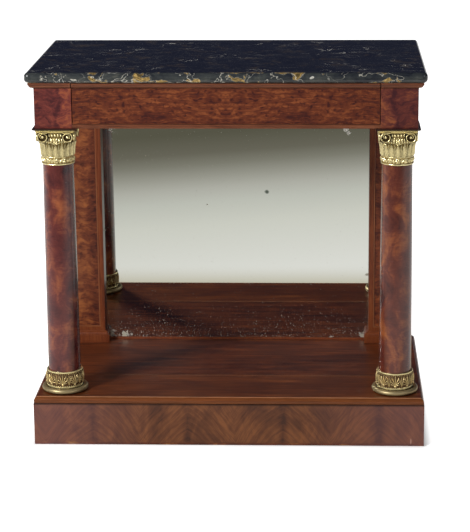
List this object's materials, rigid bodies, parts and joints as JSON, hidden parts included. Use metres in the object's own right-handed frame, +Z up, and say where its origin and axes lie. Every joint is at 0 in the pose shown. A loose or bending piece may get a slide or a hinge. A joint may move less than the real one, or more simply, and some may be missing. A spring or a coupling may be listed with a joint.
{
  "type": "pier table",
  "caption": "Mahogany pier table with a marble top, columns with gilt capitals, a mirror back, a plinth platform and a hidden frieze drawer.",
  "frame": {"origin": "on the floor, at the middle of the plinth's footprint", "axes": "+X to the right along the front, +Y from the front to the wall, +Z up"},
  "size_m": [0.954, 0.524, 0.92],
  "materials": {
    "figured_mahogany": "french polished",
    "secondary_pine": "planed, unfinished",
    "drawer_lining": "planed, unfinished",
    "gilt_brass": "cast, chased and gilt, partly dulled",
    "black_gold_marble": "polished",
    "looking_glass": "silvered glass, slightly desilvered at the edges"
  },
  "bodies": {
    "case": {"frieze_block_left": "figured_mahogany", "frieze_block_right": "figured_mahogany", "frieze_side_rail_left": "figured_mahogany", "frieze_side_rail_right": "figured_mahogany", "cornice_block_left": "figured_mahogany", "cornice_block_right": "figured_mahogany", "cornice_side_left": "figured_mahogany", "cornice_side_right": "figured_mahogany", "drawer_rail": "figured_mahogany", "column_shaft_left": "figured_mahogany", "column_shaft_right": "figured_mahogany", "pilaster_border_left": "figured_mahogany", "pilaster_border_right": "figured_mahogany", "pilaster_panel_left": "figured_mahogany", "pilaster_panel_right": "figured_mahogany", "pilaster_base_left": "figured_mahogany", "pilaster_base_right": "figured_mahogany", "rear_post_left": "figured_mahogany", "rear_post_right": "figured_mahogany", "capital_abaci": "figured_mahogany", "mirror_slip": "figured_mahogany", "platform_front_board": "figured_mahogany", "platform_rear_board": "figured_mahogany", "plinth_front": "figured_mahogany", "plinth_side_left": "figured_mahogany", "plinth_side_right": "figured_mahogany", "frieze_back_rail": "secondary_pine", "upper_front_rail": "secondary_pine", "marble_bearer": "secondary_pine", "drawer_runner_left": "secondary_pine", "drawer_runner_right": "secondary_pine", "drawer_guide_left": "secondary_pine", "drawer_guide_right": "secondary_pine", "drawer_kicker_left": "secondary_pine", "drawer_kicker_right": "secondary_pine", "drawer_stops": "secondary_pine", "mirror_head_rail": "secondary_pine", "mirror_backboards": "secondary_pine", "plinth_back": "secondary_pine", "plinth_brace": "secondary_pine", "plinth_corner_blocks": "secondary_pine", "plinth_glue_blocks": "secondary_pine", "capitals": "gilt_brass", "base_collars": "gilt_brass", "base_tori": "gilt_brass", "marble_top": "black_gold_marble", "mirror_glass": "looking_glass"},
    "drawer": {"drawer_front": "figured_mahogany", "drawer_cornice": "figured_mahogany", "drawer_side_left": "drawer_lining", "drawer_side_right": "drawer_lining", "drawer_back": "drawer_lining", "drawer_bottom": "drawer_lining"}
  },
  "joints": [
    {"name": "drawer_slide", "type": "slide", "parent": "case", "child": "drawer", "axis": [0, -1, 0], "range_m": [0, 0.28]}
  ]
}
